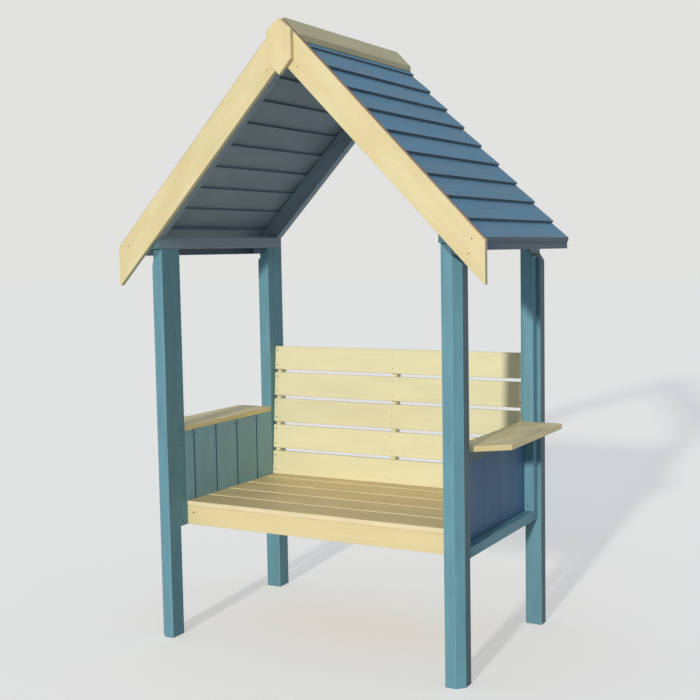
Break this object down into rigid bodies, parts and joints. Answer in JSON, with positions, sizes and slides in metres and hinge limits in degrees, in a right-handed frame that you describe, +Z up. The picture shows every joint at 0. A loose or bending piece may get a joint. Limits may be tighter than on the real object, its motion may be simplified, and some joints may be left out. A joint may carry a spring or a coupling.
{
  "type": "garden arbour seat",
  "caption": "Open garden arbour seat: slatted bench and raked back between panelled sides, under a steep gable roof of lapped boards on corner posts.",
  "frame": {"origin": "on the ground under the middle of the whole seat's box", "axes": "+Z up, -Y to the front where people sit down, +X to the right as seen from the front"},
  "size_m": [1.3, 0.786, 1.9881],
  "materials": {
    "blue_paint": "satin blue-green exterior paint on planed softwood",
    "cream_paint": "satin cream exterior paint on planed softwood",
    "roof_paint": "blue-green exterior paint on lapped roof boards, a little weathered"
  },
  "bodies": {
    "root": {"post_front_left": "blue_paint", "post_front_right": "blue_paint", "post_back_left": "blue_paint", "post_back_right": "blue_paint", "stile_front_left": "blue_paint", "stile_front_right": "blue_paint", "stile_back_left": "blue_paint", "stile_back_right": "blue_paint", "side_panel_left": "blue_paint", "side_panel_right": "blue_paint", "panel_rail_left": "blue_paint", "panel_rail_right": "blue_paint", "arm_rail_left": "blue_paint", "arm_rail_right": "blue_paint", "armrest_left": "cream_paint", "armrest_right": "cream_paint", "eaves_plate_left": "blue_paint", "eaves_plate_right": "blue_paint", "eaves_board_left": "roof_paint", "eaves_board_right": "roof_paint", "rafter_front_left": "blue_paint", "rafter_front_right": "blue_paint", "rafter_back_left": "blue_paint", "rafter_back_right": "blue_paint", "roof_left": "roof_paint", "roof_right": "roof_paint", "ridge_cap": "cream_paint", "bargeboard_left": "cream_paint", "bargeboard_right": "cream_paint", "peak_plate": "cream_paint", "seat_slat_1": "cream_paint", "seat_slat_2": "cream_paint", "seat_slat_3": "cream_paint", "seat_slat_4": "cream_paint", "seat_slat_5": "cream_paint", "seat_apron": "cream_paint", "seat_bearers": "cream_paint", "seat_back_rail": "cream_paint", "back_slat_1": "cream_paint", "back_slat_2": "cream_paint", "back_slat_3": "cream_paint", "back_slat_4": "cream_paint", "back_slat_5": "cream_paint", "back_battens": "cream_paint"}
  },
  "joints": []
}
